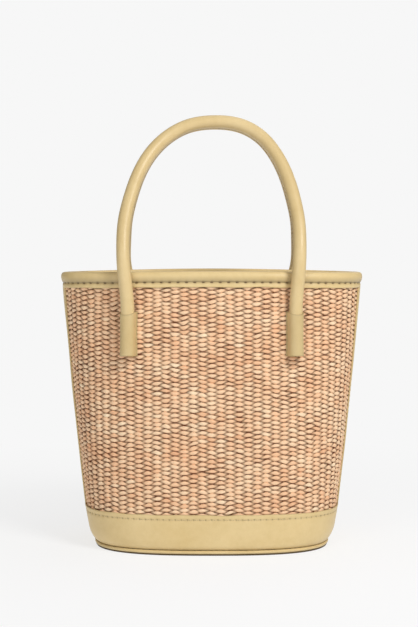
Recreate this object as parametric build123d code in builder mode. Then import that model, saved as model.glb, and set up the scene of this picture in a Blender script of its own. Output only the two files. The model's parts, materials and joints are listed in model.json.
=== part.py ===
from build123d import *
import math
import os

# Basket handbag: an oval straw tub with leather trim and two rolled leather handles.
# Millimetres. X runs across the wide front, the front faces -Y and Z is up.
# The origin is on the floor, at the middle of the base.

# ---------------------------------------------------------------------------
# Driving dimensions
# ---------------------------------------------------------------------------

# The tub, measured on the outer face of its leather trim.
foot_width = 198.4
foot_depth = 143.0
band_width = 211.2
band_depth = 150.0
rim_width = 249.8
rim_depth = 120.0
rim_height = 225.5
band_height = 33.0
side_bulge = 0.9          # how far the wall swells out halfway up
foot_squareness = 3.0     # exponent of the oval section: 2 is an ellipse
rim_squareness = 2.3

# Layers of the wall, from the outside in.
leather_thickness = 1.2
weave_thickness = 2.4
lining_thickness = 0.7
layer_gap = 0.2

# Leather trim.
binding_height = 13.6
binding_lip = 4.4         # flat edge below the rolled part of the binding
binding_swell = 1.2       # how far the rolled part stands proud
roll_profile = [(0, 0), (0.3, 0.8), (0.65, 1), (1, -0.2)]  # share of its height, share of the swell
side_strip_width = 30.0
piping_diameter = 4.0
piping_proud = 0.5

# Base.
board_thickness = 2.5

# Handles.
tube_diameter = 10.8
cover_thickness = 1.5
handle_foot_spacing = 134.4    # centre to centre where the handles leave the sleeves
front_handle_width = 141.0     # centre to centre at the widest
back_handle_width = 153.0
front_handle_rise = 128.4      # from the rim to the top of the handle
back_handle_rise = 131.4
back_handle_shift = -1.4       # the back handle stands a little to the left
lean_rise = 12.0               # the legs stand upright up to this far above the rim
shoulder_rise = 41.5           # where the legs start to curve in
front_shoulder_share = 0.793   # width left at the shoulder, as a share
back_shoulder_share = 0.752
crown_radius = 58.0
crown_flat = 8.0
crown_turn = 45.0              # degrees by which each end of the crown bends down
leg_bend_radius = 55.0
widest_bend_radius = 85.0
shoulder_bend_radius = 50.0

# Sleeves that hold the handle ends.
sleeve_wall = 1.4
sleeve_length = 35.2
sleeve_drop = 32.5             # from the rim down to the top of the sleeves
running_gap = 0.3

# Points along each oval section, and the number of sections in a tall wall.
oval_points_count = 32
wall_sections = 6
turn_step = 0.5                # half the stretch over which the wall's direction is taken

# ---------------------------------------------------------------------------
# Values that follow from them
# ---------------------------------------------------------------------------

weave_outer = leather_thickness + layer_gap
weave_inner = weave_outer + weave_thickness
lining_outer = weave_inner + layer_gap
lining_inner = lining_outer + lining_thickness
binding_inner_face = lining_inner + layer_gap
binding_inner = binding_inner_face + leather_thickness

tube_radius = tube_diameter / 2
core_radius = tube_radius - cover_thickness - layer_gap
piping_radius = piping_diameter / 2
piping_inset = piping_radius - piping_proud

sole_inset = piping_inset + piping_radius + layer_gap
sole_top = leather_thickness
board_low = sole_top + layer_gap
board_high = board_low + board_thickness
band_low = piping_diameter + layer_gap
wall_low = band_low
lining_low = board_high + layer_gap
wall_high = rim_height - leather_thickness - layer_gap
binding_low = rim_height - binding_height
roll_low = binding_low + binding_lip

sleeve_width = tube_diameter + 2 * sleeve_wall
sleeve_top = rim_height - sleeve_drop
sleeve_low = sleeve_top - sleeve_length
flex_z = sleeve_top + tube_radius + running_gap
lean_height = rim_height + lean_rise
shoulder_height = rim_height + shoulder_rise


# ---------------------------------------------------------------------------
# The tub's form
# ---------------------------------------------------------------------------

def between(low, high, share):
    """The value a share of the way from low to high."""
    return low + (high - low) * share


def half_sizes(z):
    """Half width, half depth and squareness of the leather's outer face at height z."""
    if z <= band_height:
        share = z / band_height
        half_width = between(foot_width, band_width, share) / 2
        half_depth = between(foot_depth, band_depth, share) / 2
        return half_width, half_depth, foot_squareness
    share = (z - band_height) / (rim_height - band_height)
    swell = 4 * side_bulge * share * (1 - share)
    half_width = between(band_width, rim_width, share) / 2 + swell
    half_depth = between(band_depth, rim_depth, share) / 2 + swell
    return half_width, half_depth, between(foot_squareness, rim_squareness, share)


def face_depth(x, z, inset):
    """How far the wall stands from the mid plane at x, at height z."""
    half_width, half_depth, squareness = half_sizes(z)
    share = abs(x) / (half_width - inset)
    return (half_depth - inset) * (1 - share**squareness) ** (1 / squareness)


def face_turn(x, z, inset):
    """Angle in degrees by which the wall at x is turned away from facing straight ahead."""
    rise = face_depth(x - turn_step, z, inset) - face_depth(x + turn_step, z, inset)
    return math.degrees(math.atan2(rise, 2 * turn_step))


def oval_points(z, inset):
    """Points of the closed oval section at height z, inset from the leather's face."""
    half_width, half_depth, squareness = half_sizes(z)
    points = []
    for number in range(oval_points_count):
        angle = math.tau * (number / oval_points_count - 0.25)
        across = math.cos(angle)
        deep = math.sin(angle)
        reach = (abs(across) ** squareness + abs(deep) ** squareness) ** (-1 / squareness)
        points.append(((half_width - inset) * across * reach, (half_depth - inset) * deep * reach))
    return points


def oval(z, inset):
    """One oval section of the tub as a sketch."""
    with BuildSketch(Plane.XY.offset(z)) as section:
        with BuildLine():
            Spline(*oval_points(z, inset), periodic=True)
        make_face()
    return section.sketch


def oval_block(z_low, z_high, inset, mode=Mode.ADD):
    """Fill the tub's form between two heights, with its kink at the base band's edge."""
    if z_low < band_height:
        loft([oval(z_low, inset), oval(min(z_high, band_height), inset)], mode=mode)
    if z_high > band_height:
        start = max(z_low, band_height)
        shares = [number / (wall_sections - 1) for number in range(wall_sections)]
        loft([oval(between(start, z_high, share), inset) for share in shares], mode=mode)


def oval_shell(z_low, z_high, outer_inset, inner_inset):
    """A ring of wall between two heights and two faces."""
    oval_block(z_low, z_high, outer_inset)
    oval_block(z_low, z_high, inner_inset, mode=Mode.SUBTRACT)


# ---------------------------------------------------------------------------
# Straw wall and lining
# ---------------------------------------------------------------------------

# The straw cloth is cut as two panels that meet at the sides, under the leather strips.
with BuildPart() as woven_front_panel:
    oval_shell(wall_low, wall_high, weave_outer, weave_inner)
    split(bisect_by=Plane.XZ.offset(layer_gap / 2), keep=Keep.TOP)

with BuildPart() as woven_back_panel:
    oval_shell(wall_low, wall_high, weave_outer, weave_inner)
    split(bisect_by=Plane.XZ.offset(-layer_gap / 2), keep=Keep.BOTTOM)

# The lining is an open cup that hangs inside the straw wall.
with BuildPart() as lining:
    oval_block(lining_low, wall_high, lining_outer)
    oval_block(lining_low + lining_thickness, wall_high, lining_inner, mode=Mode.SUBTRACT)

# ---------------------------------------------------------------------------
# Leather trim
# ---------------------------------------------------------------------------

with BuildPart() as left_side_strip:
    oval_shell(band_height + layer_gap, binding_low - layer_gap, 0, leather_thickness)
    with Locations((-rim_width / 2, 0, rim_height / 2)):
        Box(rim_width / 2, side_strip_width, rim_height, mode=Mode.INTERSECT)

with BuildPart() as right_side_strip:
    mirror(left_side_strip.part, about=Plane.YZ)

# The binding is folded over the rim: a leg on each face and a rolled top.
with BuildPart() as binding_channel:
    oval_shell(binding_low, wall_high + layer_gap, leather_thickness, binding_inner_face)

with BuildPart() as rim_binding:
    roll = [oval(between(roll_low, rim_height, rise), -out * binding_swell) for rise, out in roll_profile]
    loft([oval(binding_low, 0), *roll])
    oval_block(binding_low, rim_height, binding_inner, mode=Mode.SUBTRACT)
    add(binding_channel.part, mode=Mode.SUBTRACT)

with BuildPart() as base_band:
    oval_shell(band_low, band_height, 0, leather_thickness)

# A round welt runs along the seam between the band and the sole.
with BuildPart() as base_piping:
    with BuildLine() as welt_line:
        welt_points = oval_points(piping_radius, piping_inset)
        Spline(*[(x, y, piping_radius) for x, y in welt_points], periodic=True)
    with BuildSketch(Plane(welt_line.line @ 0, z_dir=welt_line.line % 0)):
        Circle(piping_radius)
    sweep(path=welt_line.line)

with BuildPart() as base_panel:
    extrude(oval(0, sole_inset), amount=leather_thickness)

with BuildPart() as base_board:
    extrude(oval(board_low, lining_outer), amount=board_thickness)

# ---------------------------------------------------------------------------
# Handles
# ---------------------------------------------------------------------------

def clear_of_wall(x, z, inset):
    """Depth at which a handle leg at x just clears the wall face at height z."""
    turn = math.radians(face_turn(x, z, inset))
    return face_depth(x, z, inset) + (tube_radius + running_gap) / math.cos(turn)


def ball_clear_of_wall(x, z, inset):
    """The same for a handle's round end, which also meets the face's slope below it."""
    fall = face_depth(x, z - turn_step, inset) - face_depth(x, z + turn_step, inset)
    lean = math.atan2(fall, 2 * turn_step)
    turn = math.radians(face_turn(x, z, inset))
    return face_depth(x, z, inset) + (tube_radius + running_gap) / (math.cos(turn) * math.cos(lean))


foot_x = handle_foot_spacing / 2
innermost_foot_x = foot_x - abs(back_handle_shift)
leg_depth = max(
    ball_clear_of_wall(innermost_foot_x, flex_z, weave_outer),
    clear_of_wall(foot_x, binding_low, 0),
    clear_of_wall(foot_x, between(roll_low, rim_height, 0.5), -binding_swell),
)


def handle_corners(width, shoulder_share, rise, shift, side):
    """Corners of a handle's centre line, from its left flex point over to its right one.

    The legs stand upright past the rim and then lean in until the crowns meet.
    side is -1 for the front handle and 1 for the back one.
    """
    crown_z = rim_height + rise - tube_radius
    crown_x = crown_radius * math.tan(math.radians(crown_turn / 2)) + crown_flat / 2
    shoulder_x = shoulder_share * width / 2
    profile = [
        (foot_x, flex_z),
        (width / 2, lean_height),
        (width / 2, shoulder_height),
        (shoulder_x, crown_z - (shoulder_x - crown_x)),
        (crown_x, crown_z),
    ]
    crown_depth = tube_radius + running_gap
    corners = []
    for x, z in profile:
        lean = max(0, (z - lean_height) / (crown_z - lean_height))
        corners.append((x, side * between(leg_depth, crown_depth, lean), z))
    left = [(shift - x, y, z) for x, y, z in corners]
    right = [(shift + x, y, z) for x, y, z in reversed(corners)]
    return left + right


def handle_tube(corners, radius, mode=Mode.ADD):
    """Sweep a round section along a handle's centre line."""
    with BuildLine() as centre_line:
        FilletPolyline(*corners, radius=bend_radii)
    start = Plane(centre_line.line @ 0, z_dir=centre_line.line % 0)
    with BuildSketch(start) as ring:
        Circle(radius)
    sweep(ring.sketch, path=centre_line.line, mode=mode)


half_bend_radii = [leg_bend_radius, widest_bend_radius, shoulder_bend_radius, crown_radius]
bend_radii = half_bend_radii + half_bend_radii[::-1]

front_corners = handle_corners(front_handle_width, front_shoulder_share, front_handle_rise, 0, -1)
back_corners = handle_corners(
    back_handle_width, back_shoulder_share, back_handle_rise, back_handle_shift, 1
)

# Each cover is rolled leather, rounded off where the handle flexes above its sleeve.
with BuildPart() as front_handle_cover:
    handle_tube(front_corners, tube_radius)
    with Locations(front_corners[0], front_corners[-1]):
        Sphere(tube_radius)
    handle_tube(front_corners, core_radius + layer_gap, mode=Mode.SUBTRACT)

with BuildPart() as back_handle_cover:
    handle_tube(back_corners, tube_radius)
    with Locations(back_corners[0], back_corners[-1]):
        Sphere(tube_radius)
    handle_tube(back_corners, core_radius + layer_gap, mode=Mode.SUBTRACT)

with BuildPart() as front_handle_cord:
    handle_tube(front_corners, core_radius)

with BuildPart() as back_handle_cord:
    handle_tube(back_corners, core_radius)


def sleeve(foot, side):
    """A leather sleeve, round in front, seated on the straw wall and cut level at the top."""
    x, y, _ = foot
    reach = face_depth(abs(x), sleeve_top, weave_outer)
    drop = face_depth(abs(x), sleeve_low, weave_outer) - reach
    turn = math.radians(face_turn(abs(x), sleeve_top, weave_outer))
    tangent = Vector(math.cos(turn), -side * math.copysign(math.sin(turn), x), 0)
    upward = Vector(0, -side * drop, sleeve_length)
    with BuildSketch(Plane((x, y, sleeve_top), x_dir=tangent, z_dir=upward)) as outline:
        Circle(sleeve_width / 2)
        with Locations((0, -side * sleeve_width / 2)):
            Rectangle(sleeve_width, sleeve_width)
    extrude(outline.sketch, amount=-sleeve_length)
    low = sleeve_low - sleeve_width
    high = sleeve_top + sleeve_width
    oval_block(low, high, weave_outer - layer_gap, mode=Mode.SUBTRACT)
    split(bisect_by=Plane.XY.offset(sleeve_top), keep=Keep.BOTTOM)


with BuildPart() as front_left_sleeve:
    sleeve(front_corners[0], -1)

with BuildPart() as front_right_sleeve:
    sleeve(front_corners[-1], -1)

with BuildPart() as back_left_sleeve:
    sleeve(back_corners[0], 1)

with BuildPart() as back_right_sleeve:
    sleeve(back_corners[-1], 1)

# ---------------------------------------------------------------------------
# Export
# ---------------------------------------------------------------------------

os.makedirs("parts", exist_ok=True)

pieces = {
    "woven_front_panel": woven_front_panel,
    "woven_back_panel": woven_back_panel,
    "lining": lining,
    "left_side_strip": left_side_strip,
    "right_side_strip": right_side_strip,
    "rim_binding": rim_binding,
    "base_band": base_band,
    "base_piping": base_piping,
    "base_panel": base_panel,
    "base_board": base_board,
    "front_handle_cover": front_handle_cover,
    "front_handle_cord": front_handle_cord,
    "back_handle_cover": back_handle_cover,
    "back_handle_cord": back_handle_cord,
    "front_left_sleeve": front_left_sleeve,
    "front_right_sleeve": front_right_sleeve,
    "back_left_sleeve": back_left_sleeve,
    "back_right_sleeve": back_right_sleeve,
}

for label, piece in pieces.items():
    piece.part.label = label
    export_step(piece.part, f"parts/{label}.step")

print(f"leg depth {leg_depth:.3f}, flex height {flex_z:.2f}")
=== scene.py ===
import json
import math

import bpy
import numpy as np
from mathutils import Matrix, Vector

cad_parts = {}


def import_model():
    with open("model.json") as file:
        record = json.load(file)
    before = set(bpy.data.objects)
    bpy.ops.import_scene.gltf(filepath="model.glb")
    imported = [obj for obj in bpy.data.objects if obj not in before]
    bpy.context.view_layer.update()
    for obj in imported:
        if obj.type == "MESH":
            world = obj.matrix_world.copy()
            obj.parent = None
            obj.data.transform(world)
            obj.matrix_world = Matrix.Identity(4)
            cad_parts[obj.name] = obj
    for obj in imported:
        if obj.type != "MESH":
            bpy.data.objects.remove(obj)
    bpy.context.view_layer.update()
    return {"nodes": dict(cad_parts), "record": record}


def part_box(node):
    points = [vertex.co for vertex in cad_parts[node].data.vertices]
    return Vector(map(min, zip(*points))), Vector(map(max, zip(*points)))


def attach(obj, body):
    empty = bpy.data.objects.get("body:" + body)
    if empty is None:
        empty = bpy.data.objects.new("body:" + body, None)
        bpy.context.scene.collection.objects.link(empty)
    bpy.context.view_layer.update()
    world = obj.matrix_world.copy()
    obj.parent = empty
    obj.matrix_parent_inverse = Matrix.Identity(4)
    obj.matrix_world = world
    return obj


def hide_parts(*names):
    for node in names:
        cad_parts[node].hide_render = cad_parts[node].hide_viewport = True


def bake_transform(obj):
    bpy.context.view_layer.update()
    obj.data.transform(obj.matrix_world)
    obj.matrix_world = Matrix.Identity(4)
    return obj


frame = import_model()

RANDOM = np.random.default_rng(7)
MM = 0.001

# ---- Sizes, in metres, with places from the CAD nodes ----

BAND_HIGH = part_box("base_band")[1]
PIPING_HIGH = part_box("base_piping")[1]
RIM_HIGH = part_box("rim_binding")[1]
LINING_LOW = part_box("lining")[0]
JOINTS = {joint["name"]: joint for joint in frame["record"]["behaviour"]["joints"]}

# The tub's form is an oval, given by the leather's outer face.
PIPING_PROUD = 0.5 * MM       # how far the welt stands out from that face
ROLL_SWELL = 0.95 * MM        # and the rim, sideways
ROLL_DEPTH_SWELL = 1.7 * MM   # and to the front
SIDE_BULGE = 0.9 * MM
FOOT_SQUARENESS = 3.0
RIM_SQUARENESS = 2.3
PIPING_Z = PIPING_HIGH.z / 2
BAND_Z = BAND_HIGH.z
RIM_Z = RIM_HIGH.z
RIM_WIDTH = RIM_HIGH.x - ROLL_SWELL
RIM_DEPTH = RIM_HIGH.y - ROLL_DEPTH_SWELL
RIM_ARCH = 0.8 * MM           # the rim rises in front and behind, and dips at the sides
BACK_RISE = 0.4 * MM          # and stands a little higher behind

# Straw cloth.
RIBS = 38                     # upright ribs that show on each panel
HIDDEN_RIBS = 1.5             # and under the leather at each end
STRIP_WIDTH = 30 * MM
CLOTH_MIDDLE = -2.6 * MM      # out from the leather's outer face
WEFT_PITCH = 1.82 * MM
WEFT_SWING = 0.72 * MM
WEFT_SIDES = 6

# Leather.
HANDLE_RADIUS = 5.4 * MM
CORE_RADIUS = 3.7 * MM
FOOT_X = 67.2 * MM
BACK_SHIFT = -1.4 * MM
HANDLES = (("front", -1, 0.0), ("back", 1, BACK_SHIFT))     # which side of the bag, and how far to the right
SLEEVE_LOW, SLEEVE_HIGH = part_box("front_left_sleeve")


# ---- Meshes ----

def mix(low, high, share):
    return low + (high - low) * share


def bump(distance, width):
    """A smooth hump, 1 at distance 0 and gone past about twice the width."""
    return np.exp(-(distance / width) ** 2)


def around(count):
    """Even shares of the way round, from 0 up to just under 1."""
    return np.arange(count) / count


def full_turn(sides):
    """Even angles of a whole turn."""
    return np.linspace(0, 2 * math.pi, sides, endpoint=False)


def wrapped(angle):
    """The same angle between minus half a turn and half a turn."""
    return np.mod(angle + math.pi, 2 * math.pi) - math.pi


def mesh_object(name, points, faces, material, body="bag", attributes=None, uvs=None):
    """A smooth closed mesh whose faces look outwards."""
    points = np.asarray(points, float).reshape(-1, 3)
    mesh = bpy.data.meshes.new(name)
    mesh.from_pydata(points.tolist(), [], faces)
    for key, values in (attributes or {}).items():
        layer = mesh.attributes.new(key, "FLOAT", "POINT")
        layer.data.foreach_set("value", np.ascontiguousarray(values, dtype=np.float32).ravel())
    if uvs is not None:
        layer = mesh.uv_layers.new(name="UVMap")
        corners = np.empty(len(mesh.loops), dtype=np.int32)
        mesh.loops.foreach_get("vertex_index", corners)
        flat = np.asarray(uvs, dtype=np.float32).reshape(-1, 2)[corners]
        layer.data.foreach_set("uv", flat.ravel())
    mesh.polygons.foreach_set("use_smooth", [True] * len(mesh.polygons))
    mesh.update()
    mesh.calc_loop_triangles()
    corners = np.empty(len(mesh.loop_triangles) * 3, dtype=np.int32)
    mesh.loop_triangles.foreach_get("vertices", corners)
    a, b, c = points[corners.reshape(-1, 3)].transpose(1, 0, 2)
    if np.einsum("ij,ij->i", a, np.cross(b, c)).sum() < 0:
        mesh.flip_normals()
    mesh.materials.append(material)
    made = bpy.data.objects.new(name, mesh)
    bpy.context.scene.collection.objects.link(made)
    if body:
        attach(made, body)
    return made


def grid_faces(rows, columns, close_rows=False, close_columns=True, start=0):
    """Quads of a grid of points that lie row by row."""
    row = np.arange(rows if close_rows else rows - 1)[:, None]
    column = np.arange(columns if close_columns else columns - 1)[None, :]
    next_row = (row + 1) % rows
    next_column = (column + 1) % columns
    corners = [row * columns + column, row * columns + next_column,
               next_row * columns + next_column, next_row * columns + column]
    return (np.stack(np.broadcast_arrays(*corners), -1).reshape(-1, 4) + start).tolist()


def tube_faces(rings, sides, start=0):
    """Quads of a tube with flat ends."""
    faces = grid_faces(rings, sides, start=start)
    faces.append([start + side for side in reversed(range(sides))])
    last = start + (rings - 1) * sides
    faces.append([last + side for side in range(sides)])
    return faces


def many_tubes(tubes):
    """Points and faces of several tubes, each shaped (ring, side, 3)."""
    points, faces, start = [], [], 0
    for tube in tubes:
        rings, sides = tube.shape[:2]
        faces += tube_faces(rings, sides, start)
        points.append(tube.reshape(-1, 3))
        start += rings * sides
    return np.concatenate(points), faces


def slab_faces(rows, columns):
    """Faces of a closed slab whose points are an outer grid and then an inner one."""
    size = rows * columns
    faces = grid_faces(rows, columns, close_columns=False)
    faces += [face[::-1] for face in grid_faces(rows, columns, close_columns=False, start=size)]
    edge = list(range(columns))
    edge += [row * columns + columns - 1 for row in range(1, rows)]
    edge += [(rows - 1) * columns + column for column in reversed(range(columns - 1))]
    edge += [row * columns for row in reversed(range(1, rows - 1))]
    for here, there in zip(edge, edge[1:] + edge[:1]):
        faces.append([there, here, here + size, there + size])
    return faces


# ---- The tub's form ----

def form(z):
    """Half width, half depth and squareness of the leather's outer face at height z."""
    low = (z - PIPING_Z) / (BAND_Z - PIPING_Z)
    high = (z - BAND_Z) / (RIM_Z - BAND_Z)
    inside = np.clip(high, 0, 1)
    swell = 4 * SIDE_BULGE * inside * (1 - inside)
    foot_width = PIPING_HIGH.x - PIPING_PROUD
    foot_depth = PIPING_HIGH.y - PIPING_PROUD
    below = z <= BAND_Z
    width = np.where(below, mix(foot_width, BAND_HIGH.x, low), mix(BAND_HIGH.x, RIM_WIDTH, high) + swell)
    depth = np.where(below, mix(foot_depth, BAND_HIGH.y, low), mix(BAND_HIGH.y, RIM_DEPTH, high) + swell)
    return width, depth, mix(FOOT_SQUARENESS, RIM_SQUARENESS, inside)


def oval(angle, z):
    width, depth, squareness = form(z)
    across, deep = np.cos(angle), np.sin(angle)
    reach = (np.abs(across) ** squareness + np.abs(deep) ** squareness) ** (-1 / squareness)
    return width * across * reach, depth * deep * reach


LEVELS = np.linspace(0, RIM_Z + 5 * MM, 40)
SHARES = np.linspace(0, 1, 721)
ANGLES = np.linspace(-math.pi / 2, 1.5 * math.pi, 2881)


def perimeter_tables():
    """For each level, the angle at each share of the way round, and the way round's length."""
    angles, lengths = [], []
    for level in LEVELS:
        x, y = oval(ANGLES, np.full_like(ANGLES, level))
        way = np.concatenate([[0], np.cumsum(np.hypot(np.diff(x), np.diff(y)))])
        angles.append(np.interp(SHARES, way / way[-1], ANGLES))
        lengths.append(way[-1])
    return np.array(angles), np.array(lengths)


ANGLE_TABLE, PERIMETERS = perimeter_tables()


def perimeter(z):
    return np.interp(z, LEVELS, PERIMETERS)


def wall(share, z, out=0.0):
    """Points on the tub's wall. share goes round from the front's middle by way of +X."""
    share, z, out = np.broadcast_arrays(share, z, out)
    level = np.clip(z / LEVELS[-1], 0, 1) * (len(LEVELS) - 1)
    row = np.minimum(level.astype(int), len(LEVELS) - 2)
    place = np.mod(share, 1) * (len(SHARES) - 1)
    column = np.minimum(place.astype(int), len(SHARES) - 2)
    up, along = level - row, place - column
    low = mix(ANGLE_TABLE[row, column], ANGLE_TABLE[row, column + 1], along)
    high = mix(ANGLE_TABLE[row + 1, column], ANGLE_TABLE[row + 1, column + 1], along)
    x, y = oval(mix(low, high, up), z)
    width, depth, squareness = form(z)
    across = np.sign(x) * np.abs(x / width) ** (squareness - 1) / width
    deep = np.sign(y) * np.abs(y / depth) ** (squareness - 1) / depth
    size = np.hypot(across, deep)
    return np.stack([x + out * across / size, y + out * deep / size, z], -1)


def rim_top(share):
    """Height of the rim round the tub."""
    behind = 0.5 - 0.5 * np.cos(2 * math.pi * share)
    return RIM_Z - 0.2 * MM + RIM_ARCH * np.cos(4 * math.pi * share) + BACK_RISE * behind ** 4


def waves(share, z, count, seed):
    """Soft seeded noise between about -1 and 1, periodic round the tub."""
    chance = np.random.default_rng(seed)
    total = np.zeros(np.broadcast(share, z).shape)
    for _ in range(count):
        turns = chance.integers(4, 26)
        lean = chance.uniform(-160, 160)
        total = total + np.sin(2 * math.pi * turns * share + lean * z + chance.uniform(0, 6.3))
    return total / math.sqrt(count)


# ---- Materials ----

def linear(red, green, blue):
    """A colour given in 0 to 255, as the shader's linear values."""
    return tuple((value / 255) ** 2.2 for value in (red, green, blue)) + (1.0,)


class Shader:
    """A small node tree round one Principled shader."""

    def __init__(self, name, **sockets):
        self.material = bpy.data.materials.new(name)
        self.material.use_nodes = True
        self.nodes = self.material.node_tree.nodes
        self.links = self.material.node_tree.links
        self.principled = self.nodes["Principled BSDF"]
        for key, value in sockets.items():
            self.principled.inputs[key.replace("_", " ")].default_value = value

    def add(self, kind, settings=None, **inputs):
        """A node. An input is a value, or a socket to link to it. A number's key is n and its index."""
        made = self.nodes.new("ShaderNode" + kind)
        for key, value in (settings or {}).items():
            setattr(made, key, value)
        for key, value in inputs.items():
            place = int(key[1:]) if key[0] == "n" and key[1:].isdigit() else key.replace("_", " ")
            if isinstance(value, bpy.types.NodeSocket):
                self.links.new(value, made.inputs[place])
            else:
                made.inputs[place].default_value = value
        return made

    def math(self, operation, first, second, third=0.0):
        return self.add("Math", {"operation": operation}, n0=first, n1=second, n2=third).outputs[0]

    def where(self):
        """The object's own coordinates."""
        return self.add("TexCoord").outputs["Object"]

    def unwrapped(self):
        """The mesh's UVs."""
        return self.add("UVMap", {"uv_map": "UVMap"}).outputs[0]

    def noise(self, where, scale, detail, roughness):
        made = self.add("TexNoise", Vector=where, Scale=scale, Detail=detail, Roughness=roughness)
        return made.outputs["Fac"]

    def wave(self, where, direction, scale, distortion):
        made = self.add("TexWave", {"bands_direction": direction}, Vector=where, Scale=scale,
                        Distortion=distortion)
        return made.outputs["Fac"]

    def spread(self, value, low, high, to_low, to_high):
        return self.add("MapRange", n0=value, n1=low, n2=high, n3=to_low, n4=to_high).outputs[0]

    def blend(self, share, first, second, kind="MIX"):
        """Mix two colours."""
        settings = {"data_type": "RGBA", "blend_type": kind}
        return self.add("Mix", settings, n0=share, n6=first, n7=second).outputs[2]

    def attribute(self, name):
        return self.add("Attribute", {"attribute_name": name}).outputs["Fac"]

    def put(self, socket, value):
        self.links.new(value, self.principled.inputs[socket])

    def bumps(self, height, distance, strength):
        made = self.add("Bump", Height=height, Distance=distance, Strength=strength)
        self.put("Normal", made.outputs["Normal"])


def leather(name, pale, deep, roughness=0.46):
    """Smooth calf leather: mottled, with pores, and darker where the shade attribute paints shade."""
    shader = Shader(name, Specular_IOR_Level=0.42, Coat_Weight=0.06, Coat_Roughness=0.35)
    where = shader.where()
    mottle = shader.noise(where, 26, 4, 0.55)
    cloud = shader.noise(where, 210, 3, 0.6)
    grain = shader.noise(where, 1500, 2, 0.6)
    cells = shader.add("TexVoronoi", Vector=where, Scale=1150.0).outputs["Distance"]
    share = shader.spread(shader.math("MULTIPLY_ADD", cloud, 0.35, mottle), 0.42, 0.88, 1.0, 0.0)
    colour = shader.blend(share, linear(*pale), linear(*deep))
    pores = shader.spread(cells, 0.0, 0.5, 0.955, 1.0)
    # Painted shade: the shade attribute darkens the colour, on top of the pores.
    pores_and_painted_shade = shader.math("MULTIPLY_ADD", shader.attribute("shade"), -0.62, pores)
    grey = shader.add("CombineColor", Red=pores_and_painted_shade, Green=pores_and_painted_shade, Blue=pores_and_painted_shade).outputs[0]
    shader.put("Base Color", shader.blend(1.0, colour, grey, "MULTIPLY"))
    shader.put("Roughness", shader.spread(grain, 0.3, 0.7, roughness - 0.07, roughness + 0.1))
    height = shader.math("MULTIPLY_ADD", cells, 0.6, shader.math("MULTIPLY_ADD", cloud, 0.9, grain))
    shader.bumps(height, 0.00016, 0.42)
    return shader.material


def straw(name):
    """Straw: each grain has its own tone, with fine fibres along it, and painted shade where the strands dive
    under the ribs.
    """
    shader = Shader(name, Roughness=0.62, Specular_IOR_Level=0.3)
    along = shader.unwrapped()
    where = shader.where()
    stretched = shader.add("Mapping", Vector=along, Scale=(420.0, 9.0, 1.0)).outputs[0]
    fibres = shader.noise(stretched, 1.0, 3, 0.65)
    patch = shader.noise(where, 34, 3, 0.6)
    tone = shader.math("MULTIPLY_ADD", fibres, 0.55, shader.attribute("tone"))
    tone = shader.math("MULTIPLY_ADD", patch, 0.5, tone)
    ramp = shader.add("ValToRGB", Fac=shader.spread(tone, 0.35, 1.5, 0.0, 1.0))
    stops = [(0.0, (200, 132, 92)), (0.28, (222, 158, 116)), (0.6, (243, 195, 153)),
             (1.0, (255, 233, 198))]
    elements = ramp.color_ramp.elements
    while len(elements) < len(stops):
        elements.new(0.5)
    for element, (place, colour) in zip(elements, stops):
        element.position = place
        element.color = linear(*colour)
    # Painted shade: dark red-brown where the strands dive between and under the ribs.
    dive = shader.spread(shader.attribute("dive"), 0.03, 0.85, 0.0, 1.0)
    shader.put("Base Color", shader.blend(dive, ramp.outputs[0], linear(92, 46, 20)))
    shader.bumps(fibres, 0.00025, 0.6)
    return shader.material


def plain(name, first, second, distance, strength, wave=None, noise=None, **sockets):
    """A material whose colour and bumps both follow one wave or noise."""
    shader = Shader(name, **sockets)
    where = shader.where()
    pattern = shader.wave(where, *wave) if wave else shader.noise(where, *noise)
    shader.put("Base Color", shader.blend(pattern, linear(*first), linear(*second)))
    shader.bumps(pattern, distance, strength)
    return shader.material


def thread(name, colour):
    """Waxed thread with a fine twist."""
    dark = [value * 0.72 for value in colour]
    return plain(name, dark, colour, 0.00012, 0.5, wave=("DIAGONAL", 420.0, 1.5), Roughness=0.55,
                 Sheen_Weight=0.1)


def canvas(name, pale, deep):
    """Plain woven cotton cloth, seen from its UVs in metres."""
    shader = Shader(name, Roughness=0.88, Sheen_Weight=0.15, Specular_IOR_Level=0.2)
    along = shader.unwrapped()
    where = shader.where()
    warp = shader.wave(along, "X", 190.0, 0.6)
    weft = shader.wave(along, "Y", 190.0, 0.6)
    woven = shader.math("MULTIPLY", warp, weft)
    slub = shader.noise(where, 160, 4, 0.6)
    share = shader.spread(shader.math("MULTIPLY_ADD", woven, 0.5, slub), 0.3, 1.1, 0.0, 1.0)
    shader.put("Base Color", shader.blend(share, linear(*deep), linear(*pale)))
    shader.bumps(woven, 0.0002, 0.5)
    return shader.material


TRIM_LEATHER = leather("pale_leather", (227, 201, 147), (216, 188, 131))
HANDLE_LEATHER = leather("handle_leather", (222, 197, 146), (211, 184, 130), roughness=0.38)
# The sole is dark to paint the contact shadow under the welt.
SOLE_SHADOW_LEATHER = leather("sole_contact_shadow", (82, 62, 32), (66, 50, 24), roughness=0.6)
STRAW = straw("woven_straw")
# The rim's thread is dark brown, partly to paint the shade of the stitch holes it sits in.
RIM_THREAD = thread("rim_thread", (122, 92, 56))
PALE_THREAD = thread("pale_thread", (226, 200, 150))
LINING_CLOTH = canvas("lining_canvas", (226, 205, 168), (203, 178, 138))
BOARD = plain("grey_board", (128, 106, 82), (178, 156, 128), 0.0002, 0.5, noise=(480, 5, 0.7),
              Roughness=0.85)
ROPE = plain("cotton_rope", (196, 184, 160), (232, 224, 204), 0.0006, 0.7, wave=("DIAGONAL", 60.0, 2.0),
             Roughness=0.8)


# ---- Straw panels ----

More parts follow.
